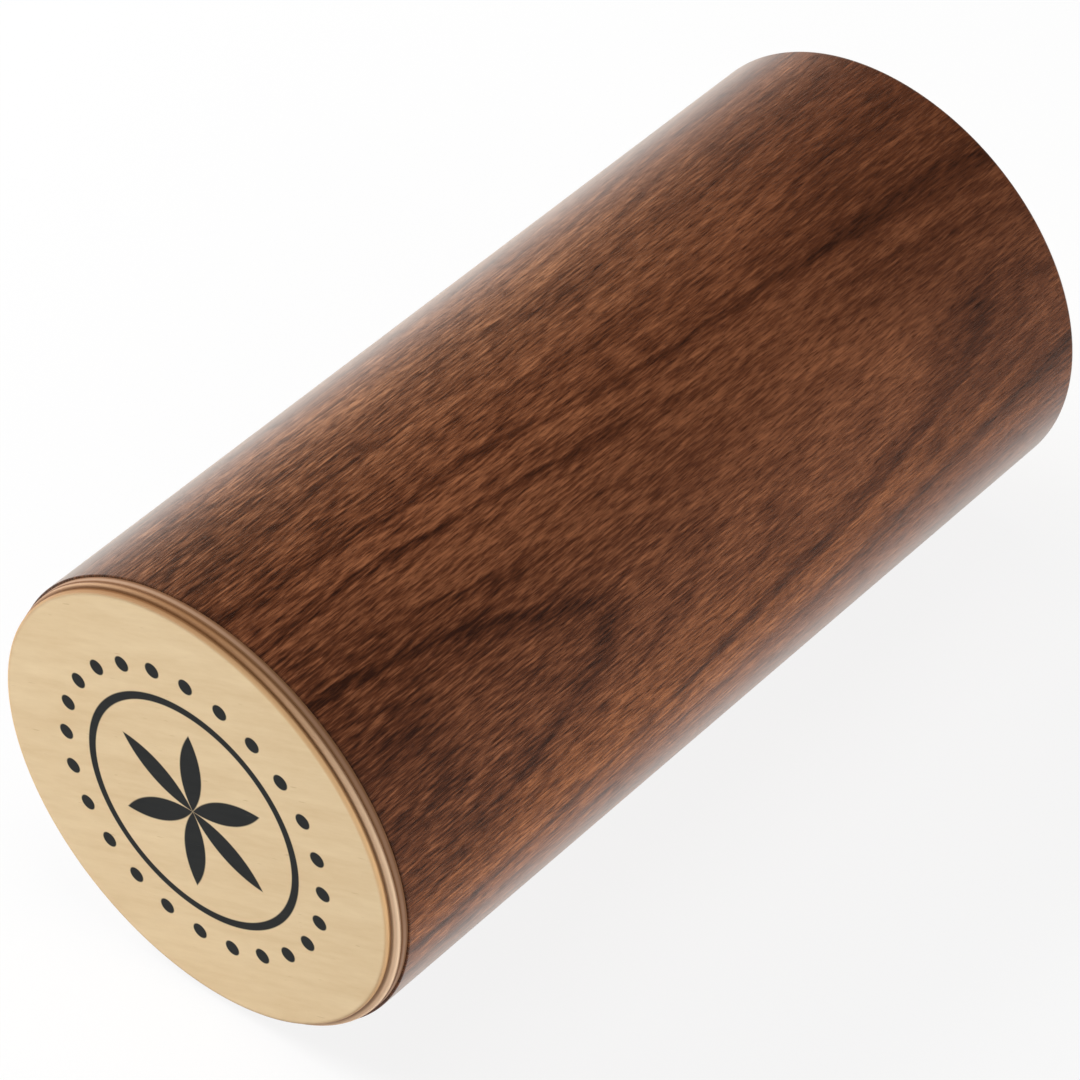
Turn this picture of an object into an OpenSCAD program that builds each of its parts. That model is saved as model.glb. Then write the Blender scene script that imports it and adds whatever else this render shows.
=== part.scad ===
// Hand-held tube shaker: a bent-ply walnut tube, a birch plywood cap at each end, loose steel shot inside.
// It lies on its side along Y, front cap at -Y. The origin is on the table, below the middle of the tube.

/* [Tube] */
// Outside diameter of the tube
tube_d = 60; // [50:1:70]
// Length over both ends
total_len = 125; // [100:1:150]
// Thickness of each of the three plies of the tube wall
wall_ply_t = 1; // [0.8:0.1:1.2]
// Rounding of the outer edge at the rear rim
rim_round = 0.5; // [0.2:0.1:0.7]

/* [Front cap] */
// Diameter of the back ply, a little less than the tube's
back_ply_d = 59.3; // [58.9:0.1:59.3]
// Thickness of the back ply
back_ply_t = 1; // [0.8:0.1:1.2]
// Easing of the back ply's front edge
back_round = 0.1; // [0.05:0.05:0.3]
// Diameter of the core ply
core_ply_d = 59.2; // [58.8:0.1:59.8]
// Thickness of the core ply
core_ply_t = 0.5; // [0.4:0.1:0.8]
// Rounding of the core ply's front edge
core_round = 0.3; // [0.1:0.1:0.4]
// Diameter of the face ply
face_ply_d = 58; // [56:0.1:58.5]
// Thickness of the face ply
face_ply_t = 0.8; // [0.6:0.1:1]
// Rounding of the face ply's front edge
face_round = 0.25; // [0.1:0.05:0.4]
// How far the face ply is glued off centre, to the left as seen from the front
face_shift = [-0.35, 0.05]; // [-0.6:0.05:0.6]
// How far the core and back plies are glued off centre, up and to the right as seen from the front
back_shift = [0.15, 0.25]; // [-0.3:0.05:0.3]

/* [Rear cap] */
// Thickness of each of the three plies of the rear cap
cap_ply_t = 1; // [0.8:0.1:1.2]
// Depth of the rear cap behind the rear rim
rear_recess = 1; // [0.5:0.5:3]
// Free fit of the rear cap in the bore, all round
rear_fit = 0.05; // [0.02:0.01:0.1]

/* [Shot] */
// Diameter of one ball of shot
shot_d = 4; // [3:0.5:5]
// Gap kept between neighbouring balls, and between a ball and the bore
shot_gap = 0.4; // [0.3:0.1:0.5]
// Number of slices of shot along the tube
slice_count = 12; // [4:1:12]
// Balls in the row that lies on the bore, in each slice
bottom_row = 6; // [4:2:8]
// Rows of balls in each slice, each two balls shorter than the row below it
row_count = 3; // [1:1:3]

/* [Hidden] */
$fn = 96;

tube_r = tube_d / 2;
core_r = tube_r - wall_ply_t;
lining_r = core_r - wall_ply_t;
bore_r = lining_r - wall_ply_t;
plies_in_rear_cap = 3;

front_y = -total_len / 2;
rear_y = total_len / 2;
core_ply_y = front_y + face_ply_t;
back_ply_y = core_ply_y + core_ply_t;
tube_front_y = back_ply_y + back_ply_t;
tube_len = rear_y - tube_front_y;
rear_cap_y = rear_y - rear_recess - plies_in_rear_cap * cap_ply_t;

shot_pitch = shot_d + shot_gap;
chamber_mid_y = (tube_front_y + rear_cap_y) / 2;
first_slice_y = chamber_mid_y - shot_pitch * (slice_count - 1) / 2;
bottom_row_r = bore_r - shot_gap - shot_d / 2;

walnut = "#5b3423";
birch = "#dcc094";
birch_crossed = "#b98f62";
steel = "#b9bcc0";

function two_digits(i) = str(i < 10 ? "0" : "", i);
function shot_name(i) = str("shot_group_", two_digits(i));

// Stands its children on the tube's centre line at y, with their own Z along +Y
module on_axis(y) {
    translate([0, y, tube_r])
        rotate([-90, 0, 0])
            children();
}

// Half-section of a disc or a ring of thickness t, with its far outer corner rounded
module round_section(r_in, r_out, t, corner) {
    w = r_out - r_in;
    translate([r_in, 0]) {
        square([w, t - corner]);
        square([w - corner, t]);
        intersection() {
            square([w, t]);
            translate([w - corner, t - corner])
                circle(r = corner);
        }
    }
}

module ring(r_in, r_out, t) {
    difference() {
        cylinder(r = r_out, h = t);
        translate([0, 0, -1])
            cylinder(r = r_in, h = t + 2);
    }
}

// Walnut veneer on the outside of the tube, eased at the rear rim
module walnut_outer_ply() {
    color(walnut)
        on_axis(tube_front_y)
            rotate_extrude()
                round_section(core_r, tube_r, tube_len, rim_round);
}

module tube_core_ply() {
    color(birch_crossed)
        on_axis(tube_front_y)
            ring(lining_r, core_r, tube_len);
}

module tube_inner_ply() {
    color(birch)
        on_axis(tube_front_y)
            ring(bore_r, lining_r, tube_len);
}

// One ply of the front cap, turned so that its rounded edge is at -Y; y is the plane of its back
module front_cap_ply(y, shift, d, t, corner, tint) {
    color(tint)
        translate([shift[0], 0, shift[1]])
            on_axis(y)
                rotate([180, 0, 0])
                    rotate_extrude()
                        round_section(0, d / 2, t, corner);
}

module front_cap_face_ply() {
    front_cap_ply(core_ply_y, face_shift, face_ply_d, face_ply_t, face_round, birch);
}

module front_cap_core_ply() {
    front_cap_ply(back_ply_y, back_shift, core_ply_d, core_ply_t, core_round, birch_crossed);
}

module front_cap_back_ply() {
    front_cap_ply(tube_front_y, back_shift, back_ply_d, back_ply_t, back_round, birch);
}

// One ply of the rear cap, which is let into the bore; level 0 is the innermost
module rear_cap_ply(level, tint) {
    color(tint)
        on_axis(rear_cap_y + level * cap_ply_t)
            cylinder(r = bore_r - rear_fit, h = cap_ply_t);
}

module rear_cap_inner_ply() { rear_cap_ply(0, birch); }

module rear_cap_core_ply() { rear_cap_ply(1, birch_crossed); }

module rear_cap_outer_ply() { rear_cap_ply(2, birch); }

// Slice number i of the shot: rows of balls that follow the curve of the bore at its lowest line
module shot_group(i) {
    y = first_slice_y + (i - 1) * shot_pitch;
    color(steel)
        for (row = [0:row_count - 1]) {
            row_r = bottom_row_r - row * shot_pitch;
            step = 2 * asin(shot_pitch / (2 * row_r));
            balls = bottom_row - 2 * row;
            for (k = [0:1:balls - 1]) {
                angle = (k - (balls - 1) / 2) * step;
                translate([row_r * sin(angle), y, tube_r - row_r * cos(angle)])
                    sphere(d = shot_d);
            }
        }
}

walnut_outer_ply();
tube_core_ply();
tube_inner_ply();
front_cap_face_ply();
front_cap_core_ply();
front_cap_back_ply();
rear_cap_inner_ply();
rear_cap_core_ply();
rear_cap_outer_ply();
for (i = [1:slice_count])
    shot_group(i);
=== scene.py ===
# %% [markdown]
# A hand-held tube shaker: a bent-ply tube with a walnut veneer outside, a birch plywood cap glued on its
# front end, a second cap let into its rear end, and loose steel shot inside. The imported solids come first
# and are never moved. Everything made here lies in their frame: metres, the tube along Y, front cap at -Y.

# %% The frame
import bpy
import numpy as np
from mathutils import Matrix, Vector


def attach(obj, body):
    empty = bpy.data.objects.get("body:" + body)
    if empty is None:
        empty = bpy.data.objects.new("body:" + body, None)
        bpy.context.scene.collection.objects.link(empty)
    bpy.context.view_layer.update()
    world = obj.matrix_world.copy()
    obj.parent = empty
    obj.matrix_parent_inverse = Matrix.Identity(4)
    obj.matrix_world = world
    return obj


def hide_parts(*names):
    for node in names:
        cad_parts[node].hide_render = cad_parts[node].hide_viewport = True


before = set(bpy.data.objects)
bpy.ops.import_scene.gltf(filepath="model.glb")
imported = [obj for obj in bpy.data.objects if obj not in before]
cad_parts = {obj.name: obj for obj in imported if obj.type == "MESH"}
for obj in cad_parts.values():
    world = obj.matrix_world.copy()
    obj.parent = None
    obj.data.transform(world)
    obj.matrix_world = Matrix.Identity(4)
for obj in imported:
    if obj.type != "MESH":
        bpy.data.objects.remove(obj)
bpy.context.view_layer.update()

# %% [markdown]
# The plies of the front cap were glued on a little off centre, which leaves a ledge at its edge that is wider
# on one side. Those offsets are written here, to the right and up as seen from the front. A ply's radius and
# the planes of its two faces could be written too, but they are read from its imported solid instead, so that
# each new piece fits the solid that it stands for. All of these are in millimetres.

# %% Sizes of the plies
MM = 0.001
CENTRED = (0.0, 0.0)
FACE_SHIFT = (-0.35, 0.05)
BACK_SHIFT = (0.15, 0.25)
OFF_CENTRE = {"front_cap_face_ply": FACE_SHIFT, "front_cap_core_ply": BACK_SHIFT,
              "front_cap_back_ply": BACK_SHIFT}


def solid_points(node):
    """The x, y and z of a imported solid's points."""
    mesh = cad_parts[node].data
    flat = np.empty(3 * len(mesh.vertices), np.float32)
    mesh.vertices.foreach_get("co", flat)
    return flat.reshape(-1, 3).T / MM


TUBE_R = round(float(solid_points("walnut_outer_ply")[2].max()) / 2.0, 2)


def ply_size(node):
    """A ply's greatest distance from its own centre line, then its lowest and its highest y."""
    x, y, z = solid_points(node)
    shift_x, shift_z = OFF_CENTRE.get(node, CENTRED)
    reach = np.hypot(x - shift_x, z - TUBE_R - shift_z).max()
    return [round(float(v), 2) for v in (reach, y.min(), y.max())]


FACE_R, FRONT_Y, CORE_Y = ply_size("front_cap_face_ply")
BACK_Y, TUBE_FRONT = ply_size("front_cap_back_ply")[1:]
print("tube radius", TUBE_R, "face radius", FACE_R, "planes", FRONT_Y, CORE_Y, BACK_Y, TUBE_FRONT)

# %% [markdown]
# The camera stands where the photograph was taken from: high, in front and to the right of the tube, with a
# long lens. Its place came from fitting the outline of a cylinder and the lines at the cap's edge, so a
# plain camera with no shift gives the picture's framing.

# %% The camera
CAMERA_AT = Vector((0.30719, -0.36410, 0.47433))
LOOKS_AT = Vector((-0.000540, -0.002194, 0.028592))
LENS_MM = 183.44


def turned_towards(start, aim):
    """The turn that points an object's -Z from start to aim, with its Y up."""
    return (Vector(aim) - Vector(start)).to_track_quat("-Z", "Y").to_euler()


lens = bpy.data.cameras.new("camera")
lens.lens = LENS_MM
lens.sensor_width = 36.0
lens.clip_start = 0.01
camera = bpy.data.objects.new("camera", lens)
camera.location = CAMERA_AT
camera.rotation_euler = turned_towards(CAMERA_AT, LOOKS_AT)
bpy.context.scene.collection.objects.link(camera)
bpy.context.scene.camera = camera
bpy.context.scene.view_settings.view_transform = "Standard"
print("camera at", tuple(round(v, 3) for v in CAMERA_AT), "lens", LENS_MM)

# %% [markdown]
# Every finish below is a small graph of shader nodes. Writing the graphs out node by node gets long, so a few
# helpers do the wiring: one puts a node down and fills its inputs, and the others are short names for the
# nodes used most. Later cells add more of them where they are first needed. A named range there is what
# remap takes: where a smooth step starts and ends and, where that isn't 0 and 1, what it gives at each.

# %% Helpers for node graphs
def fill(tree, node, inputs):
    """Fills a node's inputs, each with a number, a colour or another node's output."""
    for key, value in inputs.items():
        if isinstance(value, bpy.types.NodeSocket):
            tree.links.new(value, node.inputs[key])
        else:
            node.inputs[key].default_value = value


def put(tree, kind, inputs=None, **settings):
    """Puts one node in a tree."""
    node = tree.nodes.new("ShaderNode" + kind)
    for key, value in settings.items():
        setattr(node, key, value)
    fill(tree, node, inputs or {})
    return node


def calc(tree, operation, *values):
    """One step of arithmetic."""
    return put(tree, "Math", dict(enumerate(values)), operation=operation).outputs[0]


def times(tree, first, second):
    """first times second."""
    return calc(tree, "MULTIPLY", first, second)


def add_to(tree, base, value, amount):
    """base plus amount times value."""
    return calc(tree, "MULTIPLY_ADD", value, amount, base)


def remap(tree, value, low, high, to_low=0.0, to_high=1.0):
    """Carries low..high smoothly onto to_low..to_high, and stays flat outside."""
    node = put(tree, "MapRange", {"Value": value, "From Min": low, "From Max": high,
                                  "To Min": to_low, "To Max": to_high}, interpolation_type="SMOOTHSTEP")
    return node.outputs["Result"]


def new_finish(name):
    """A material with its shader, and the Object coordinates that its pattern is drawn on."""
    material = bpy.data.materials.new(name)
    material.use_nodes = True
    tree = material.node_tree
    shader = tree.nodes["Principled BSDF"]
    place = put(tree, "TexCoord").outputs["Object"]
    return material, tree, shader, place


print("node helpers ready")

# %% [markdown]
# The photograph has a plain white ground. More light could make a grey floor white, but would bleach the wood
# too. So the floor is a pale sheet, and a camera ray meets a mix of plain white and of the lit sheet, which
# keeps the soft shadow under the tube. Glossy and transmission rays meet the same mix, so the lacquer
# reflects the floor as a painted white glow that no lamp gives it.

# %% Floor
WHITE = (1.0, 1.0, 1.0, 1.0)
HALF_FLOOR = 1.6
PALE = (0.86, 0.86, 0.86, 1.0)
WHITE_AND_GLOW_SHARE = 0.86


def floor_finish():
    """A white sheet: mostly plain white to the camera and, as a painted reflection, to glossy rays, with the
    shadow it really receives.
    """
    material, tree, shader, _ = new_finish("white_sheet")
    shader.inputs["Base Color"].default_value = PALE
    shader.inputs["Roughness"].default_value = 0.9
    ray = put(tree, "LightPath").outputs
    # Painted reflection: glossy rays see the floor as a white glow, as camera rays see the white backdrop.
    seen = calc(tree, "MAXIMUM", ray["Is Camera Ray"], ray["Is Glossy Ray"])
    seen = calc(tree, "MAXIMUM", seen, ray["Is Transmission Ray"])
    white = put(tree, "Emission", {"Color": WHITE, "Strength": 1.0}).outputs[0]
    share = times(tree, seen, WHITE_AND_GLOW_SHARE)
    both = put(tree, "MixShader", {0: share, 1: shader.outputs[0], 2: white}).outputs[0]
    tree.links.new(both, tree.nodes["Material Output"].inputs["Surface"])
    return material


sheet = bpy.data.meshes.new("floor")
sheet.from_pydata([(-HALF_FLOOR, -HALF_FLOOR, 0), (HALF_FLOOR, -HALF_FLOOR, 0),
                   (HALF_FLOOR, HALF_FLOOR, 0), (-HALF_FLOOR, HALF_FLOOR, 0)], [], [(0, 1, 2, 3)])
sheet.materials.append(floor_finish())
floor = bpy.data.objects.new("floor", sheet)
bpy.context.scene.collection.objects.link(floor)
print("floor", 2.0 * HALF_FLOOR, "metres wide")

# %% [markdown]
# A white tent round the object shows in the lacquer and pales both long edges of the tube, together with
# the painted light on the walnut's sides and the floor's painted white glow. The tent is bright near the
# horizon and dim overhead, so that the top of the tube keeps its deep brown, and four soft lamps give the
# wood its light.

# %% Room and lamps
TENT_HEIGHTS = (0.05, 0.60)
TENT_STRENGTHS = (0.95, 0.09)
LAMPS = [("left_lamp", (-0.70, -0.25, 0.55), 0.45, 9.6), ("right_lamp", (0.88, -0.05, 0.14), 0.30, 3.3),
         ("top_lamp", (0.0, 0.0, 0.90), 0.45, 1.35), ("rear_lamp", (-0.15, 0.90, 0.20), 0.40, 2.0)]

world = bpy.data.worlds.new("white_room")
bpy.context.scene.world = world
world.use_nodes = True
room = world.node_tree
room.nodes.clear()
ray = put(room, "LightPath").outputs
seen = calc(room, "MAXIMUM", ray["Is Camera Ray"], ray["Is Transmission Ray"])
height = put(room, "SeparateXYZ", {0: put(room, "TexCoord").outputs["Generated"]}).outputs["Z"]
tent = remap(room, height, *TENT_HEIGHTS, *TENT_STRENGTHS)
lit = put(room, "Background", {"Color": WHITE, "Strength": tent}).outputs[0]
shown = put(room, "Background", {"Color": WHITE, "Strength": 1.0}).outputs[0]
mixed = put(room, "MixShader", {0: seen, 1: lit, 2: shown}).outputs[0]
room.links.new(mixed, put(room, "OutputWorld").inputs["Surface"])

for name, at, size, power in LAMPS:
    lamp = bpy.data.lights.new(name, "AREA")
    lamp.size = size
    lamp.energy = power
    holder = bpy.data.objects.new(name, lamp)
    holder.location = at
    holder.rotation_euler = turned_towards(at, (0.0, 0.0, TUBE_R * MM))
    holder.visible_glossy = False
    bpy.context.scene.collection.objects.link(holder)
print("lamps:", len(LAMPS))

# %% [markdown]
# All nine plies are round, so each is a half-section turned about a centre line. A real ply has no knife
# edges: sanding eases them, and a thin groove stays where two plies meet. A bevel modifier could round them,
# but gives every edge one width unless each is weighted. Here the section is a loop of straight walls joined
# by small quarter circles, each of its own size.

# %% A half-section
CORNER_POINTS = 7
FACE_POINTS = 12
FACE_MARGIN = 0.05


def eased_corner(r, y, size, start):
    """A quarter circle inside a corner at (r, y): size * (cos a, sin a) about a centre set in by size."""
    a = np.radians(start + np.linspace(0.0, 90.0, CORNER_POINTS))
    middle = np.radians(start + 45.0)
    centre_r = r - size * np.sign(np.cos(middle))
    centre_y = y - size * np.sign(np.sin(middle))
    return np.c_[centre_r + size * np.cos(a), centre_y + size * np.sin(a)]


def half_section(r_in, r_out, y_front, y_rear, front=0.05, rear=0.05, inner=0.05, rows=2):
    """The loop of (radius, y): front face out, outer wall to the rear, rear face in, bore to the front.

    Each corner is a quarter circle, and the outer wall has rows points, closer together near its ends.
    A disc has r_in 0 and is open at the axis."""
    wall = (1.0 - np.cos(np.linspace(0.0, np.pi, rows + 2)[1:-1])) / 2.0
    wall_y = y_front + front + (y_rear - rear - y_front - front) * wall
    outer = [eased_corner(r_out, y_front, front, -90.0),
             np.c_[np.full(rows, r_out), wall_y],
             eased_corner(r_out, y_rear, rear, 0.0)]
    if r_in == 0.0:
        steps = np.linspace(0.0, r_out - max(front, rear) - FACE_MARGIN, FACE_POINTS)
        face = np.c_[steps, np.full(FACE_POINTS, y_front)]
        back = np.c_[steps[::-1], np.full(FACE_POINTS, y_rear)]
        return np.concatenate([face] + outer + [back])
    bore = [eased_corner(r_in, y_rear, inner, 90.0), eased_corner(r_in, y_front, inner, 180.0)]
    return np.concatenate(outer + bore)


example = half_section(0.0, FACE_R, FRONT_Y, CORE_Y)
print("a disc's section has", len(example), "points")

# %% [markdown]
# The section is then carried round a circle. The Screw modifier would do that too, but computing the points
# as one array leaves room to press some of them in, which the veneer's seam needs later.

# %% Turning it
SIDES = 360


def turned(name, section, dent=None, centre=CENTRED):
    """Carries a half-section round the tube's centre line: (r sin a, y, TUBE_R + r cos a), in millimetres.

    dent(a, r, y) gives how far a point is moved in towards the axis, and centre moves the whole piece in x
    and z. A section that begins and ends on the axis gets one point at each pole, and any other is joined
    end to end."""
    solid = section[0, 0] == 0.0
    body = section[1:-1] if solid else section
    rows = len(body)
    a = np.linspace(0.0, 2.0 * np.pi, SIDES, endpoint=False)
    r = np.repeat(body[:, :1], SIDES, 1)
    y = np.repeat(body[:, 1:], SIDES, 1)
    if dent is not None:
        r = r - dent(a[None, :], r, y)
    points = np.stack([r * np.sin(a), y, TUBE_R + r * np.cos(a)], -1).reshape(-1, 3)
    strips = rows - 1 if solid else rows
    i = np.arange(strips)[:, None] * SIDES
    below = (i + SIDES) % (rows * SIDES)
    j = np.arange(SIDES)
    k = (j + 1) % SIDES
    faces = np.stack([i + j, i + k, below + k, below + j], -1).reshape(-1, 4).tolist()
    if solid:
        first = len(points)
        points = np.r_[points, [[0.0, section[0, 1], TUBE_R], [0.0, section[-1, 1], TUBE_R]]]
        last = (rows - 1) * SIDES
        faces += np.stack([np.full(SIDES, first), k, j], -1).tolist()
        faces += np.stack([np.full(SIDES, first + 1), last + j, last + k], -1).tolist()
    points = points + np.array([centre[0], 0.0, centre[1]])
    mesh = bpy.data.meshes.new(name)
    mesh.from_pydata((points * MM).tolist(), [], faces)
    mesh.polygons.foreach_set("use_smooth", np.ones(len(mesh.polygons), bool))
    mesh.update()
    piece = bpy.data.objects.new(name, mesh)
    bpy.context.scene.collection.objects.link(piece)
    print(name, len(points), "points", len(faces), "faces")
    return piece


print("each piece is turned in", SIDES, "steps")

# %% [markdown]
# Patterns in wood follow the tube, not the room: grain runs along it and the figure wraps round it. A UV map
# could carry that, but a formula on Object coordinates needs no unwrapping. It is a node group, so that
# every finish can share it: it unrolls the tube into a flat sheet in millimetres, with the distance round
# it and the distance along it from the front face.

# %% Unrolling the tube
FIGURE_AT = np.radians(57.0)


def new_group(name, inputs, outputs):
    """An empty node group with named sockets; gives its tree, what it is given and what it puts out."""
    tree = bpy.data.node_groups.new(name, "ShaderNodeTree")
    for title, kind in inputs:
        tree.interface.new_socket(title, in_out="INPUT", socket_type="NodeSocket" + kind)
    for title, kind in outputs:
        tree.interface.new_socket(title, in_out="OUTPUT", socket_type="NodeSocket" + kind)
    return tree, tree.nodes.new("NodeGroupInput").outputs, tree.nodes.new("NodeGroupOutput").inputs


def use_group(tree, group, inputs):
    """Places a group in a material with this material's own values."""
    node = tree.nodes.new("ShaderNodeGroup")
    node.node_tree = group
    fill(tree, node, inputs)
    return node.outputs


def apart(tree, vector):
    """A vector's three coordinates."""
    return put(tree, "SeparateXYZ", {0: vector}).outputs


def point(tree, x, y, z=0.0):
    """A vector from three coordinates."""
    return put(tree, "CombineXYZ", {"X": x, "Y": y, "Z": z}).outputs[0]


unrolled_tube, given, out = new_group("unrolled_tube", [("Vector", "Vector")],
                                      [("Around", "Float"), ("Along", "Float"), ("Sheet", "Vector")])
parts = apart(unrolled_tube, given["Vector"])
up = calc(unrolled_tube, "SUBTRACT", parts["Z"], TUBE_R * MM)
turn = calc(unrolled_tube, "SUBTRACT", calc(unrolled_tube, "ARCTAN2", parts["X"], up), FIGURE_AT)
around = times(unrolled_tube, calc(unrolled_tube, "WRAP", turn, np.pi, -np.pi), TUBE_R)
along = add_to(unrolled_tube, -FRONT_Y, parts["Y"], 1.0 / MM)
flat = point(unrolled_tube, around, along)
for title, value in (("Around", around), ("Along", along), ("Sheet", flat)):
    unrolled_tube.links.new(value, out[title])
print("group:", unrolled_tube.name)

# %% [markdown]
# Under the figure every wood here has the same small structure: fibres, which are faint streaks along the
# grain, and pores, which are short dark dashes along it. Only their size and number differ between walnut
# and birch, so both come from one group with its own widths and lengths. The relief sinks the pores and
# raises the fibres by a few hundredths of a millimetre.

# %% Fibres and pores
PORE_LIMIT = 0.78
PORE_SOFTNESS = 0.07
PORE_DEPTH = 0.030
FIBRE_STRETCH = (0.45, 0.55)
FIBRE_LAYER = 3.0
FIBRE_HEIGHT = 0.020


def noise(tree, vector, scale=1.0, detail=2.0, roughness=0.5):
    """A cloudy noise; the vector's own stretch decides which way it runs."""
    return put(tree, "TexNoise", {"Vector": vector, "Scale": scale, "Detail": detail,
                                  "Roughness": roughness}).outputs["Fac"]


fibres_and_pores, given, out = new_group("fibres_and_pores",
                                         [("Sheet", "Vector"), ("Pore Width", "Float"),
                                          ("Pore Length", "Float"), ("Pore Share", "Float")],
                                         [("Fibres", "Float"), ("Pores", "Float"), ("Relief", "Float")])
tree = fibres_and_pores
parts = apart(tree, given["Sheet"])
across = calc(tree, "DIVIDE", parts["X"], given["Pore Width"])
lengthways = calc(tree, "DIVIDE", parts["Y"], given["Pore Length"])
spots = noise(tree, point(tree, across, lengthways), 0.5, 1.0)
limit = add_to(tree, PORE_LIMIT, given["Pore Share"], -0.5)
pores = remap(tree, spots, limit, calc(tree, "ADD", limit, PORE_SOFTNESS))
fine = point(tree, times(tree, across, FIBRE_STRETCH[0]), times(tree, lengthways, FIBRE_STRETCH[1]),
             FIBRE_LAYER)
fibres = noise(tree, fine, 0.5, 3.0, 0.6)
relief = add_to(tree, times(tree, fibres, FIBRE_HEIGHT), pores, -PORE_DEPTH)
for title, value in (("Fibres", fibres), ("Pores", pores), ("Relief", relief)):
    tree.links.new(value, out[title])
print("group:", tree.name)

# %% [markdown]
# The veneer is flat-sliced walnut. A slice that passes near the middle of a tapering trunk cuts its growth
# rings in nested arches, with straighter grain on both sides. On the unrolled sheet the ring that a point
# belongs to is its distance along the tube plus a hyperbola of its distance from the arches' middle line.
# A wave texture could draw stripes, but by itself it can't bend them into arches.

# %% Growth rings
ARCH_WIDTH = 40.0
ARCH_STEEPNESS = 20.0
SLOW_CELL = (22.0, 60.0)
SLOW_SWAY = 7.0
QUICK_CELL = (5.0, 24.0)
QUICK_SWAY = 2.2
ROUGH_CELL = (0.8, 9.0)
ROUGH_SWAY = 11.0
LEAN = 0.19
LEAN_LEFT = (-11.0, -4.0, 1.0, 0.0)
LEAN_REAR = (65.0, 125.0)


def stretched(tree, sheet, across, along):
    """The sheet's coordinates counted in cells of across by along millimetres."""
    cell = (1.0 / across, 1.0 / along, 0.0)
    return put(tree, "VectorMath", {0: sheet, 1: cell}, operation="MULTIPLY").outputs[0]


def centred(tree, value):
    """A noise with its middle moved from a half to zero."""
    return calc(tree, "SUBTRACT", value, 0.5)


def sway_by(tree, value, vector, amount, detail=1.0):
    """Adds a noise, centred on zero, of the given size to a value."""
    return add_to(tree, value, centred(tree, noise(tree, vector, 1.0, detail)), amount)


def growth_rings(tree, sheet):
    """Gives aside, the distance from the arches' middle line, and the ring number, both in millimetres.

    aside is the distance round the tube with two sways, and is drawn in on the left towards the rear.
    ring = along + steepness * (sqrt(aside * aside + width * width) - width), roughened along the grain."""
    flat = sheet["Sheet"]
    aside = sway_by(tree, sheet["Around"], stretched(tree, flat, *SLOW_CELL), SLOW_SWAY)
    aside = sway_by(tree, aside, stretched(tree, flat, *QUICK_CELL), QUICK_SWAY, 2.0)
    left_rear = times(tree, remap(tree, aside, *LEAN_LEFT), remap(tree, sheet["Along"], *LEAN_REAR))
    aside = times(tree, aside, add_to(tree, 1.0, left_rear, -LEAN))
    spread = calc(tree, "SQRT", add_to(tree, ARCH_WIDTH ** 2, aside, aside))
    ring = add_to(tree, sheet["Along"], calc(tree, "SUBTRACT", spread, ARCH_WIDTH), ARCH_STEEPNESS)
    return aside, sway_by(tree, ring, stretched(tree, flat, *ROUGH_CELL), ROUGH_SWAY, 2.0)


moved = ARCH_STEEPNESS * (np.hypot(10.0, ARCH_WIDTH) - ARCH_WIDTH)
print("10 mm from the middle line a ring has moved", round(float(moved), 1), "mm along the tube")

# %% [markdown]
# Wood that grew late in a season is dark. A ramp over the ring number says how dark each ring is, from 0 for
# light to 1 for dark, so that any ring can be set by itself, which an even wave couldn't do. Two arches
# stand out from it: the first near the front end, deepest there, and the second further back, which fades
# on its left limb. Each is given by the rings where it starts, is darkest and ends. Both ends of the tube
# are darker, and away from the arches the grain breaks into straight bands.

# %% Late wood
RING_TONES = [(-60, 0.74), (6, 0.70), (16, 0.52), (34, 0.54), (38, 0.58), (42, 0.62), (46, 0.46),
              (54, 0.46), (60, 0.54), (68, 0.34), (96, 0.26), (128, 0.34), (148, 0.42), (156, 0.82),
              (163, 1.00), (168, 0.58), (190, 0.52), (220, 0.58), (260, 0.54)]
FIRST_RING = float(RING_TONES[0][0])
LAST_RING = float(RING_TONES[-1][0])
FIRST_ARCH = (35.5, 42.0, 47.0)
FIRST_ARCH_DEPTH = 0.52
FIRST_ARCH_RIGHT = (2.0, 12.0, 1.0, 0.40)
FIRST_ARCH_FRONT = (4.0, 30.0, 1.7, 1.0)
SECOND_ARCH = (98.0, 111.0, 118.0)
SECOND_ARCH_DEPTH = 0.66
SECOND_ARCH_LEFT = (-8.0, 4.0, 0.72, 1.0)
LEFT_LIMB = (-3.0, 1.0, 1.0, 0.0)
LEFT_LIMB_REAR = (45.0, 80.0)
LEFT_LIMB_LOSS = 0.75
FRONT_END = (6.0, 34.0, 1.0, 0.0)
REAR_END = (78.0, 112.0)
ENDS_DEPTH = 0.24
BAND_CELL = (2.6, 95.0)
BAND_LAYER = 5.0
BAND_FROM = (16.0, 36.0)
BAND_DEPTH = 1.6


def ramp(tree, value, stops):
    """A colour ramp through (place, colour) stops."""
    node = put(tree, "ValToRGB", {"Fac": value})
    while len(node.color_ramp.elements) < len(stops):
        node.color_ramp.elements.new(0.5)
    for element, (place, colour) in zip(node.color_ramp.elements, stops):
        element.position = place
        element.color = colour
    return node.outputs["Color"]


def hump(tree, value, low, top, high):
    """Rises smoothly from 0 at low to 1 at top, and falls back to 0 at high."""
    return times(tree, remap(tree, value, low, top), remap(tree, value, top, high, 1.0, 0.0))


def in_cells(tree, across, along, cell, layer=0.0):
    """Two distances counted in cells of their own; another layer gives another noise."""
    return point(tree, calc(tree, "DIVIDE", across, cell[0]), calc(tree, "DIVIDE", along, cell[1]), layer)


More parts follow.
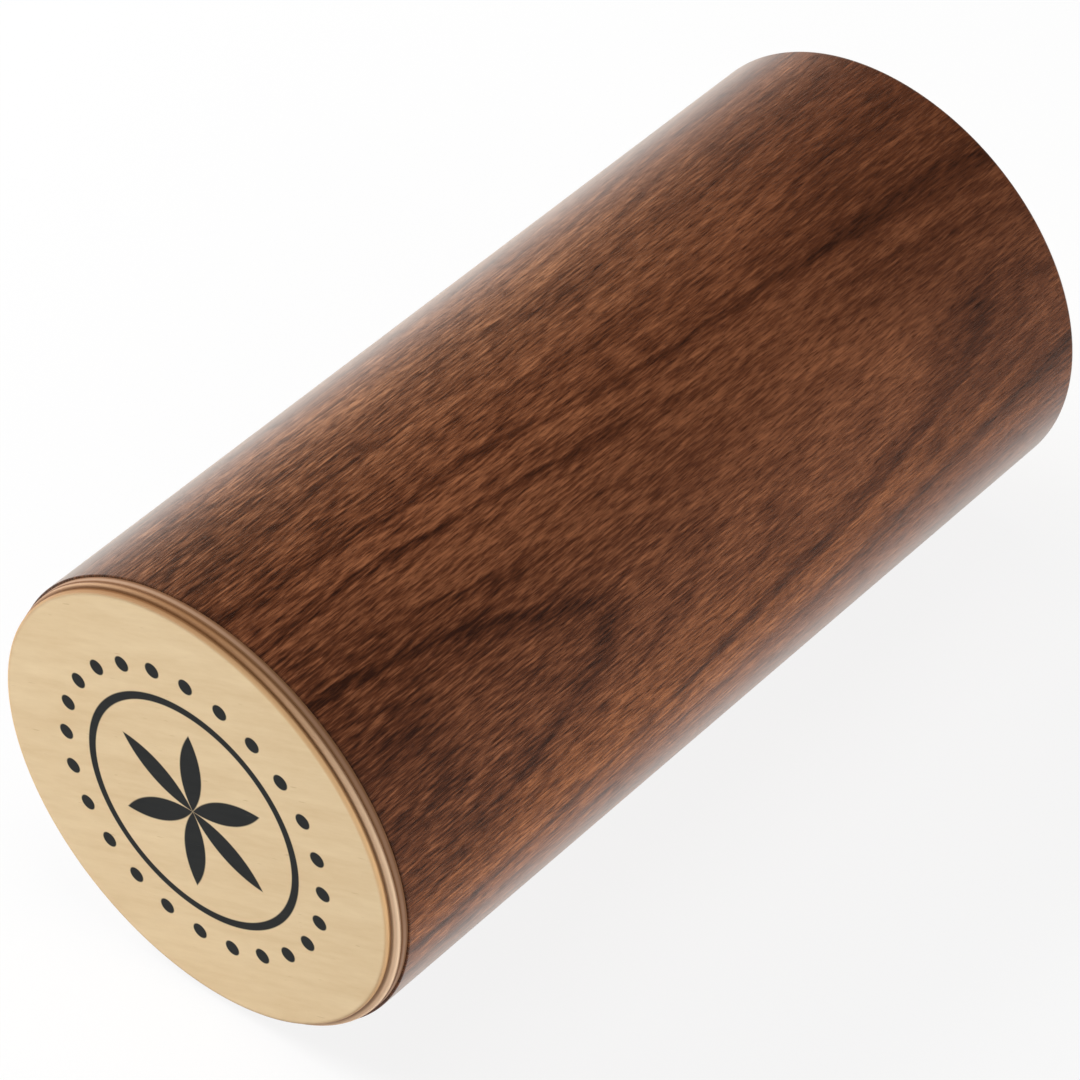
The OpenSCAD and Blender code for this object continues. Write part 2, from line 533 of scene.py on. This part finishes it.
def late_wood(tree, aside, ring, along):
    """How dark the wood is: the ring's own tone, plus the two arches, the ends and the straight bands."""
    span = LAST_RING - FIRST_RING
    stops = [((at - FIRST_RING) / span, (tone, tone, tone, 1.0)) for at, tone in RING_TONES]
    late = ramp(tree, calc(tree, "DIVIDE", calc(tree, "SUBTRACT", ring, FIRST_RING), span), stops)
    first = times(tree, hump(tree, ring, *FIRST_ARCH), remap(tree, aside, *FIRST_ARCH_RIGHT))
    first = times(tree, first, remap(tree, along, *FIRST_ARCH_FRONT))
    left_limb = times(tree, remap(tree, aside, *LEFT_LIMB), remap(tree, along, *LEFT_LIMB_REAR))
    second = times(tree, hump(tree, ring, *SECOND_ARCH), add_to(tree, 1.0, left_limb, -LEFT_LIMB_LOSS))
    second = times(tree, second, remap(tree, aside, *SECOND_ARCH_LEFT))
    ends = calc(tree, "MAXIMUM", remap(tree, along, *FRONT_END), remap(tree, along, *REAR_END))
    straight = in_cells(tree, aside, along, BAND_CELL, BAND_LAYER)
    band = centred(tree, noise(tree, straight, 1.0, 3.0, 0.55))
    band = times(tree, band, remap(tree, calc(tree, "ABSOLUTE", aside), *BAND_FROM))
    for part, depth in ((first, FIRST_ARCH_DEPTH), (second, SECOND_ARCH_DEPTH), (ends, ENDS_DEPTH),
                        (band, BAND_DEPTH)):
        late = add_to(tree, late, part, depth)
    return late


print("rings:", len(RING_TONES), "tones from", FIRST_RING, "to", LAST_RING)

# %% [markdown]
# The tone that picks the colour is the late wood with smaller things added: streaks that follow the rings,
# broad patches, and the flecks of mottle and fibres, which are stronger near the front end. One noise with
# many octaves could stand for all of these, but each has its own stretch in real wood. The left of the
# front end is a little darker.

# %% Walnut tone
LATE_SHARE = 0.52
LIGHTEST = 0.17
LEFT_PART = (-40.0, -20.0, 1.0, 0.0)
FRONT_PART = (8.0, 40.0, 1.0, 0.0)
LEFT_FRONT_DEPTH = 0.07
STREAK_CELL = (9.0, 40.0)
STREAKS = 0.75
PATCH_CELL = (4.0, 16.0)
PATCHES = 0.50
MOTTLE_CELL = (0.34, 3.2)
MOTTLE = 0.85
FIBRES = 1.10
FLECK_CONTRAST = (10.0, 110.0, 1.6, 0.95)


def walnut_tone(tree, sheet, aside, ring, fibres):
    """The late wood's share of the tone, plus each noise, centred on zero, times its own amount."""
    along = sheet["Along"]
    tone = add_to(tree, LIGHTEST, late_wood(tree, aside, ring, along), LATE_SHARE)
    left_front = times(tree, remap(tree, aside, *LEFT_PART), remap(tree, along, *FRONT_PART))
    tone = add_to(tree, tone, left_front, LEFT_FRONT_DEPTH)
    streak = noise(tree, in_cells(tree, ring, along, STREAK_CELL), 1.0, 3.0, 0.6)
    patch = noise(tree, stretched(tree, sheet["Sheet"], *PATCH_CELL))
    for part, amount in ((streak, STREAKS), (patch, PATCHES)):
        tone = add_to(tree, tone, centred(tree, part), amount)
    mottle = noise(tree, stretched(tree, sheet["Sheet"], *MOTTLE_CELL))
    contrast = remap(tree, along, *FLECK_CONTRAST)
    for part, amount in ((mottle, MOTTLE), (fibres, FIBRES)):
        tone = add_to(tree, tone, times(tree, centred(tree, part), amount), contrast)
    return tone


print("flecks:", MOTTLE, "of mottle and", FIBRES, "of fibres")

# %% [markdown]
# Walnut runs from a warm mid brown to nearly black. On top of that the sides carry painted light: right of
# the arches the wood is made paler and warmer, a painted bounce light from the floor, and left of them
# paler and greyer, a painted reflection of the white room. A second ramp could hold the other hues, but
# multiplying the first one's colour keeps the figure as it is while it moves the hue.

# %% Walnut colour and its painted side light
def srgb(r, g, b):
    """A colour as seen on a screen, 0 to 255, turned into the linear numbers that shaders use."""
    c = np.array([r, g, b]) / 255.0
    lin = np.where(c <= 0.04045, c / 12.92, ((c + 0.055) / 1.055) ** 2.4)
    return (*(float(v) for v in lin), 1.0)


def tint(tree, amount, first, second, blend="MIX"):
    """Mixes two colours: the first where amount is 0, the second where it is 1."""
    node = put(tree, "Mix", {0: amount, 6: first, 7: second}, data_type="RGBA", blend_type=blend)
    return node.outputs[2]


def scaled(tree, colour, factors):
    """A colour times three factors."""
    return tint(tree, 1.0, colour, (*factors, 1.0), "MULTIPLY")


WALNUT_BROWNS = [(0.0, srgb(147, 92, 60)), (0.35, srgb(114, 67, 42)), (0.62, srgb(87, 47, 27)),
                 (1.0, srgb(50, 24, 12))]
# Painted bounce light: right of the arches the brown is made paler and warmer, as if lit from the floor.
BOUNCE_LIGHT_TINT = (1.60, 1.60, 1.30)
BOUNCE_LIGHT_FROM = (5.0, 22.0)
BOUNCE_LIGHT_UNTIL = (55.0, 80.0, 1.0, 0.0)
# Painted reflection: left of the arches the brown is made paler and greyer, as if it reflected the white
# room.
REFLECTION_TINT = (1.45, 1.95, 2.25)
REFLECTION_FROM = (-46.0, -22.0, 0.67, 0.0)
REFLECTION_UNTIL = (-80.0, -60.0)


def walnut_colour(tree, tone, aside):
    """The ramp's brown with painted light on it: paler and warmer right of the arches for bounce light from
    the floor, paler and greyer left of them for a reflection of the white room, and plain at the back.
    """
    colour = ramp(tree, tone, WALNUT_BROWNS)
    # Masks of the painted light: bounce light on the right of the arches, a reflection of the room on the
    # left.
    painted_bounce = times(tree, remap(tree, aside, *BOUNCE_LIGHT_FROM), remap(tree, aside, *BOUNCE_LIGHT_UNTIL))
    painted_reflection = times(tree, remap(tree, aside, *REFLECTION_FROM), remap(tree, aside, *REFLECTION_UNTIL))
    bounce_lit_wood = scaled(tree, colour, BOUNCE_LIGHT_TINT)
    reflecting_wood = scaled(tree, colour, REFLECTION_TINT)
    return tint(tree, painted_reflection, tint(tree, painted_bounce, colour, bounce_lit_wood), reflecting_wood)


print("browns:", len(WALNUT_BROWNS))

# %% [markdown]
# A thin satin lacquer lies on the veneer. A coat of one weight would gleam all over, but this lacquer gleams
# only where the wood is seen at a low angle, so the coat's weight follows the facing angle, with a little
# warm sheen under it. The open pores are darker and duller, and the sawn front edge of the tube is darker
# too.

# %% Satin walnut
WALNUT_PORES = {"Pore Width": 0.060, "Pore Length": 0.9, "Pore Share": 0.46}
PORE_SHADE = (0.50, 0.45, 0.42)
PORE_STRENGTH = 0.70
SAWN_BROWN = srgb(46, 26, 16)
SAWN_DEPTHS = (TUBE_FRONT - FRONT_Y + 0.08, TUBE_FRONT - FRONT_Y + 0.40)
SAWN_STRENGTH = 0.40
SATIN = 0.36
FIBRES_ROUGHEN = 0.16
PORES_ROUGHEN = 0.15
WALNUT_BUMP = 0.8
GLEAM_ANGLES = (0.45, 0.92)
WALNUT_GLOSS = {"Specular IOR Level": 0.12, "Coat Roughness": 0.28, "Sheen Weight": 0.50,
                "Sheen Roughness": 0.25, "Sheen Tint": (1.0, 0.84, 0.66, 1.0)}


def join_up(tree, shader, colour, rough, relief, strength):
    """Links a finish's colour, its roughness and, through a bump, its relief to the shader."""
    tree.links.new(colour, shader.inputs["Base Color"])
    tree.links.new(rough, shader.inputs["Roughness"])
    bump = put(tree, "Bump", {"Strength": strength, "Distance": MM, "Height": relief}).outputs[0]
    tree.links.new(bump, shader.inputs["Normal"])


def walnut_finish():
    """Walnut's figure and colour, its pores, the sawn edge at the front, and the lacquer."""
    material, tree, shader, place = new_finish("satin_walnut")
    sheet = use_group(tree, unrolled_tube, {"Vector": place})
    fine = use_group(tree, fibres_and_pores, {"Sheet": sheet["Sheet"], **WALNUT_PORES})
    aside, ring = growth_rings(tree, sheet)
    colour = walnut_colour(tree, walnut_tone(tree, sheet, aside, ring, fine["Fibres"]), aside)
    dark = scaled(tree, colour, PORE_SHADE)
    colour = tint(tree, times(tree, fine["Pores"], PORE_STRENGTH), colour, dark)
    sawn = remap(tree, sheet["Along"], *SAWN_DEPTHS, 1.0, 0.0)
    colour = tint(tree, times(tree, sawn, SAWN_STRENGTH), colour, SAWN_BROWN)
    rough = add_to(tree, SATIN, fine["Fibres"], FIBRES_ROUGHEN)
    rough = add_to(tree, rough, fine["Pores"], PORES_ROUGHEN)
    join_up(tree, shader, colour, rough, fine["Relief"], WALNUT_BUMP)
    low_angle = put(tree, "LayerWeight", {"Blend": 0.5}).outputs["Facing"]
    tree.links.new(remap(tree, low_angle, *GLEAM_ANGLES), shader.inputs["Coat Weight"])
    fill(tree, shader, WALNUT_GLOSS)
    return material


WALNUT = walnut_finish()
print("finish:", WALNUT.name, len(WALNUT.node_tree.nodes), "nodes")

# %% [markdown]
# Birch is pale and even, with faint broad streaks. Where a ply is cut across its grain the open ends of the
# fibres drink the finish and go brown, and where it is cut along the grain the edge stays light, so round
# a disc the edge turns from light to brown and back twice. The next shared group gives that share of end
# grain: the square of how far the way out from the centre lies along the grain. It also gives the
# distance from the disc's own centre and from the front face, which is where glue lines are drawn.

# %% Sawn edges
def distance(tree, x, y):
    """The square root of x * x + y * y."""
    return calc(tree, "SQRT", add_to(tree, times(tree, y, y), x, x))


def flat_place(tree, place):
    """A point's x and its height above the tube's centre line, in millimetres."""
    parts = apart(tree, place)
    return times(tree, parts["X"], 1.0 / MM), add_to(tree, -TUBE_R, parts["Z"], 1.0 / MM)


sawn_edge, given, out = new_group("sawn_edge",
                                  [("Vector", "Vector"), ("Grain X", "Float"), ("Grain Z", "Float"),
                                   ("Centre X", "Float"), ("Centre Z", "Float")],
                                  [("End Grain", "Float"), ("Reach", "Float"), ("Depth", "Float")])
x, z = flat_place(sawn_edge, given["Vector"])
x = calc(sawn_edge, "SUBTRACT", x, given["Centre X"])
z = calc(sawn_edge, "SUBTRACT", z, given["Centre Z"])
reach = distance(sawn_edge, x, z)
lies = add_to(sawn_edge, times(sawn_edge, z, given["Grain Z"]), x, given["Grain X"])
lies = calc(sawn_edge, "DIVIDE", lies, calc(sawn_edge, "MAXIMUM", reach, 0.01))
depth = add_to(sawn_edge, -FRONT_Y, apart(sawn_edge, given["Vector"])["Y"], 1.0 / MM)
for title, value in (("End Grain", times(sawn_edge, lies, lies)), ("Reach", reach), ("Depth", depth)):
    sawn_edge.links.new(value, out[title])
print("group:", sawn_edge.name)

# %% [markdown]
# The cap's face carries a plain black print: a six-petalled compass rose inside a fine ring and a ring of
# dots, which is the figure that any pair of compasses draws. A petal is what two circles of the rose's own
# radius share, and folding the angle into one sixth of a turn lets one formula draw all six.

# %% Print
PETALS = 6
PETAL_R = 12.0
PETAL_EDGE = 0.10
RING_R = 15.5
RING_EDGE = (0.45, 0.62)
DOTS = 24
DOTS_R = 19.6
DOT_EDGE = (0.95, 1.12)


def folded(tree, reach, turn, count):
    """A point's place beside and out along the nearest of count evenly spaced directions."""
    part = 2.0 * np.pi / count
    bend = calc(tree, "ABSOLUTE", calc(tree, "WRAP", turn, part / 2.0, -part / 2.0))
    return times(tree, reach, calc(tree, "SINE", bend)), times(tree, reach, calc(tree, "COSINE", bend))


def rose_print(tree, place):
    """The share of ink at a point of the face: rose, ring and dots, each a smooth step across its edge.

    A petal is within PETAL_R of a centre that lies PETAL_R from the middle, a sixth of a turn away."""
    x, z = flat_place(tree, place)
    x = calc(tree, "SUBTRACT", x, FACE_SHIFT[0])
    z = calc(tree, "SUBTRACT", z, FACE_SHIFT[1])
    reach = distance(tree, x, z)
    turn = calc(tree, "ARCTAN2", x, z)
    beside, along = folded(tree, reach, turn, PETALS)
    beside = calc(tree, "ADD", beside, PETAL_R * np.sin(np.pi / 3.0))
    along = calc(tree, "SUBTRACT", along, PETAL_R * np.cos(np.pi / 3.0))
    far = distance(tree, beside, along)
    rose = remap(tree, far, PETAL_R - PETAL_EDGE, PETAL_R + PETAL_EDGE, 1.0, 0.0)
    gap = calc(tree, "ABSOLUTE", calc(tree, "SUBTRACT", reach, RING_R))
    ring = remap(tree, gap, *RING_EDGE, 1.0, 0.0)
    beside, along = folded(tree, reach, turn, DOTS)
    gap = distance(tree, beside, calc(tree, "SUBTRACT", along, DOTS_R))
    dots = remap(tree, gap, *DOT_EDGE, 1.0, 0.0)
    return calc(tree, "MAXIMUM", rose, calc(tree, "MAXIMUM", ring, dots))


print("print:", PETALS, "petals and", DOTS, "dots")

# %% [markdown]
# A sawn birch edge has three things on it: the colour of its grain, which turns as said above, brown lines
# where glue has squeezed out between two plies, and on the ledge a brown line in the inner corner under the
# face ply, which is squeezed-out glue and painted shade in that corner together. All of them come in only
# near the rim, so the flat of a disc stays clean.

# %% Edges of the birch plies
# The brown of glue lines, also laid as painted shade in the ledge's inner corner.
GLUE_AND_SHADE_BROWN = srgb(114, 75, 44)
GLUE_STRENGTH = 0.80
CORNER_GLUE_AND_SHADE_STRENGTH = 0.70
CORNER_HALF_WIDTH = 0.50


def line_at(tree, value, place, half_width):
    """A soft line: 1 at a place and 0 beyond half_width on both sides of it."""
    gap = calc(tree, "ABSOLUTE", calc(tree, "SUBTRACT", value, place))
    return remap(tree, gap, half_width * 0.35, half_width, 1.0, 0.0)


def edge_colour(tree, place, colour, grain, middle, rim, sawn, glue, corner=None):
    """Lays the sawn edge over a birch colour.

    rim is the pair of distances from the ply's middle between which the edge comes in, and sawn its colours
    along and across the grain. glue lists the depths and half widths of glue lines, and corner is the
    radius of the inner corner that one ply makes with the next, where a brown line is laid for glue and
    painted shade together."""
    edge = use_group(tree, sawn_edge, {"Vector": place, "Grain X": np.cos(grain), "Grain Z": np.sin(grain),
                                       "Centre X": middle[0], "Centre Z": middle[1]})
    near = remap(tree, edge["Reach"], *rim)
    colour = tint(tree, times(tree, near, near), colour, tint(tree, edge["End Grain"], *sawn))
    for depth, half_width in glue:
        line = times(tree, line_at(tree, edge["Depth"], depth, half_width), near)
        colour = tint(tree, times(tree, line, GLUE_STRENGTH), colour, GLUE_AND_SHADE_BROWN)
    # The corner line: squeezed-out glue and painted shade in the inner corner, in one brown.
    if corner is not None:
        line = line_at(tree, edge["Reach"], corner, CORNER_HALF_WIDTH)
        colour = tint(tree, times(tree, line, CORNER_GLUE_AND_SHADE_STRENGTH), colour, GLUE_AND_SHADE_BROWN)
    return colour


print("glue lines at", GLUE_STRENGTH, "of their colour")

# %% [markdown]
# One function makes every birch in the shaker, because the plies differ only in how pale they are, which way
# their grain runs, and whether they show a print or a sawn edge. The ink lies on the front face alone, and
# breaks a little over the fibres.

# %% Birch
BIRCH_PORES = {"Pore Width": 0.20, "Pore Length": 1.6, "Pore Share": 0.10}
BIRCH_PORE_SHADE = (0.72, 0.64, 0.56)
BIRCH_PORE_STRENGTH = 0.5
BROAD_CELL = (3.5, 30.0)
BROAD_SHARE = 0.55
LIGHT_AT = 0.30
DEEP_AT = 0.72
SANDED = 0.42
BIRCH_ROUGHEN = 0.14
BIRCH_BUMP = 0.5
BIRCH_GLOSS = 0.15
INK = srgb(24, 26, 26)
INK_DEPTHS = (0.02, 0.04)
INK_OVER_FIBRES = (0.12, 0.30, 0.88, 1.0)
INK_ROUGHENS = 0.12


def board_sheet(tree, place, grain):
    """A disc's flat coordinates in millimetres, across and along a grain that is turned from X to Z."""
    x, z = flat_place(tree, place)
    along = add_to(tree, times(tree, z, np.sin(grain)), x, np.cos(grain))
    across = add_to(tree, times(tree, x, -np.sin(grain)), z, np.cos(grain))
    return point(tree, across, along)


def birch_finish(name, light, deep, grain=None, printed=False, edge=None):
    """Birch with its grain turned by an angle from X to Z, or along the tube where no angle is given.

    Its tone runs from light to deep by fibres and broad streaks, and edge holds what edge_colour needs."""
    material, tree, shader, place = new_finish(name)
    if grain is None:
        board = use_group(tree, unrolled_tube, {"Vector": place})["Sheet"]
    else:
        board = board_sheet(tree, place, grain)
    fine = use_group(tree, fibres_and_pores, {"Sheet": board, **BIRCH_PORES})
    broad = noise(tree, stretched(tree, board, *BROAD_CELL))
    tone = add_to(tree, times(tree, broad, BROAD_SHARE), fine["Fibres"], 1.0 - BROAD_SHARE)
    colour = ramp(tree, tone, [(LIGHT_AT, light), (DEEP_AT, deep)])
    dark = scaled(tree, colour, BIRCH_PORE_SHADE)
    colour = tint(tree, times(tree, fine["Pores"], BIRCH_PORE_STRENGTH), colour, dark)
    rough = add_to(tree, SANDED, fine["Fibres"], BIRCH_ROUGHEN)
    if printed:
        depth = use_group(tree, unrolled_tube, {"Vector": place})["Along"]
        ink = times(tree, rose_print(tree, place), remap(tree, depth, *INK_DEPTHS, 1.0, 0.0))
        ink = times(tree, ink, remap(tree, fine["Fibres"], *INK_OVER_FIBRES))
        colour = tint(tree, ink, colour, INK)
        rough = add_to(tree, rough, ink, INK_ROUGHENS)
    if edge is not None:
        colour = edge_colour(tree, place, colour, grain, **edge)
    join_up(tree, shader, colour, rough, fine["Relief"], BIRCH_BUMP)
    shader.inputs["Specular IOR Level"].default_value = BIRCH_GLOSS
    return material


print("birch ready")

# %% [markdown]
# Now each ply gets its own birch. In plywood the grain of one ply crosses that of the next, so the core
# is turned against the face. On the edge of the front cap the ledge and the face are told apart by the glue
# lines, whose depths are the planes of the plies measured at the start. The eased edge of the face ply is
# lighter at its end grain, as the photograph shows, so its two colours are given the other way round.

# %% The birch of each ply
FACE_GRAIN = np.radians(25.0)
CORE_GRAIN = np.radians(88.0)
CROSS_GRAIN = FACE_GRAIN + np.pi / 2.0
FACE_GLUE = CORE_Y - FRONT_Y
CORE_GLUE = BACK_Y - FRONT_Y
TUBE_GLUE = TUBE_FRONT - FRONT_Y
FACE_EDGE = {"middle": FACE_SHIFT, "rim": (FACE_R - 0.75, FACE_R), "glue": [(FACE_GLUE, 0.45)],
             "sawn": (srgb(160, 122, 86), srgb(224, 183, 134))}
# The ledge's corner line is glue and painted shade in the corner under the face ply.
LEDGE_EDGE = {"middle": FACE_SHIFT, "rim": (FACE_R - 0.5, FACE_R), "glue": [(CORE_GLUE, 0.36)],
              "sawn": (srgb(238, 204, 170), srgb(152, 112, 77)), "corner": FACE_R}
BACK_EDGE = {"middle": BACK_SHIFT, "rim": (FACE_R - 1.0, FACE_R),
             "glue": [(CORE_GLUE, 0.30), (TUBE_GLUE, 0.52)],
             "sawn": (srgb(170, 136, 110), srgb(138, 104, 80))}
FACE_BIRCH = birch_finish("printed_birch", srgb(232, 207, 166), srgb(218, 189, 146), FACE_GRAIN,
                          printed=True, edge=FACE_EDGE)
LEDGE_BIRCH = birch_finish("ledge_birch", srgb(206, 170, 134), srgb(186, 146, 108), CORE_GRAIN,
                           edge=LEDGE_EDGE)
BACK_BIRCH = birch_finish("back_birch", srgb(222, 196, 156), srgb(200, 168, 126), FACE_GRAIN,
                          edge=BACK_EDGE)
PLAIN_BIRCH = birch_finish("plain_birch", srgb(226, 200, 158), srgb(208, 178, 134), FACE_GRAIN)
CROSSED_BIRCH = birch_finish("crossed_birch", srgb(196, 156, 116), srgb(170, 126, 88), CROSS_GRAIN)
LINING_BIRCH = birch_finish("lining_birch", srgb(214, 184, 142), srgb(190, 156, 114))
print("finishes:", [m.name for m in bpy.data.materials if m.name.endswith("birch")])

# %% [markdown]
# The shot is hardened steel, grey and bright with dull scuffs from years of rattling. New balls could be
# modelled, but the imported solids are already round, so they only get a finish.

# %% Steel shot
SCUFF_SCALE = 900.0
BRIGHT_STEEL = (0.62, 0.63, 0.65, 1.0)
SCUFFED_STEEL = (0.40, 0.41, 0.43, 1.0)
SCUFF_ROUGHNESS = (0.35, 0.70, 0.18, 0.42)


def steel_finish():
    """Bare steel whose colour and roughness follow one fine noise, the scuffs."""
    material, tree, shader, place = new_finish("scuffed_steel")
    scuffs = noise(tree, place, SCUFF_SCALE, 3.0, 0.65)
    colour = ramp(tree, scuffs, [(0.3, BRIGHT_STEEL), (0.7, SCUFFED_STEEL)])
    tree.links.new(colour, shader.inputs["Base Color"])
    tree.links.new(remap(tree, scuffs, *SCUFF_ROUGHNESS), shader.inputs["Roughness"])
    shader.inputs["Metallic"].default_value = 1.0
    return material


STEEL = steel_finish()
shot = [node for name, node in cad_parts.items() if name.startswith("shot_group")]
for node in shot:
    node.data.materials.clear()
    node.data.materials.append(STEEL)
print("shot groups:", len(shot))

# %% [markdown]
# The veneer is one sheet bent round, and its two edges meet in a fine groove along the tube, on the side
# away from the arches. A bent sheet is also never quite round. Both are real shapes, so they go into the
# mesh and not into a bump, and both only press points in, so the piece stays inside its solid.

# %% The veneer's seam
SEAM_AT = FIGURE_AT + np.pi
SEAM_DEPTH = 0.07
SEAM_SPREAD = 0.28
WAVE_DEPTH = 0.012
WAVES = 3.0
WAVE_TWIST = 0.02
SKIN = 0.6


def veneer_dent(a, r, y):
    """A groove about 0.5 mm wide at the seam: a bell curve of the distance round the tube.

    To it are added slow waves, WAVE_DEPTH * (1 + cos(WAVES * a + WAVE_TWIST * y)), and only the skin
    of the tube is moved."""
    off = (a - SEAM_AT + np.pi) % (2.0 * np.pi) - np.pi
    groove = SEAM_DEPTH * np.exp(-((off * TUBE_R) / SEAM_SPREAD) ** 2)
    wave = WAVE_DEPTH * (1.0 + np.cos(WAVES * a + WAVE_TWIST * y))
    return np.where(r > TUBE_R - SKIN, groove + wave, 0.0)


print("seam", SEAM_DEPTH, "mm deep, at", round(float(np.degrees(SEAM_AT))), "degrees from the top")

# %% [markdown]
# Last of the making, the nine plies. Each row gives a piece's name, the solid that it stands for, its slot
# and finish, its bore, and how far its corners are eased: at the front, at the rear and in the bore. The
# bore of a ply of the tube is one ply's thickness in from its outside, and a disc has none.

# %% The plies
WALL_PLY = 1.0
NO_BORE = None
PLIES = [
    ("walnut_veneer", "walnut_outer_ply", "walnut", WALNUT, WALL_PLY, (0.12, 0.50, 0.05)),
    ("core_layer", "tube_core_ply", "birch_crossed", CROSSED_BIRCH, WALL_PLY, (0.05, 0.08, 0.05)),
    ("lining_layer", "tube_inner_ply", "birch", LINING_BIRCH, WALL_PLY, (0.05, 0.08, 0.30)),
    ("front_face", "front_cap_face_ply", "birch", FACE_BIRCH, NO_BORE, (0.30, 0.06)),
    ("front_core", "front_cap_core_ply", "birch_crossed", LEDGE_BIRCH, NO_BORE, (0.30, 0.08)),
    ("front_back", "front_cap_back_ply", "birch", BACK_BIRCH, NO_BORE, (0.10, 0.10)),
    ("rear_inner", "rear_cap_inner_ply", "birch", PLAIN_BIRCH, NO_BORE, (0.10, 0.05)),
    ("rear_core", "rear_cap_core_ply", "birch_crossed", CROSSED_BIRCH, NO_BORE, (0.05, 0.05)),
    ("rear_outer", "rear_cap_outer_ply", "birch", PLAIN_BIRCH, NO_BORE, (0.05, 0.25)),
]
DENTS = {"walnut_veneer": veneer_dent}
WALL_ROWS = {"walnut_veneer": 60}
for name, node, slot, finish, wall, easing in PLIES:
    r_out, y_front, y_rear = ply_size(node)
    r_in = 0.0 if wall is NO_BORE else r_out - wall
    section = half_section(r_in, r_out, y_front, y_rear, *easing, rows=WALL_ROWS.get(name, 2))
    piece = turned(name, section, DENTS.get(name), OFF_CENTRE.get(node, CENTRED))
    piece.data.materials.append(finish)
    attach(piece, "shell")
    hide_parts(node)
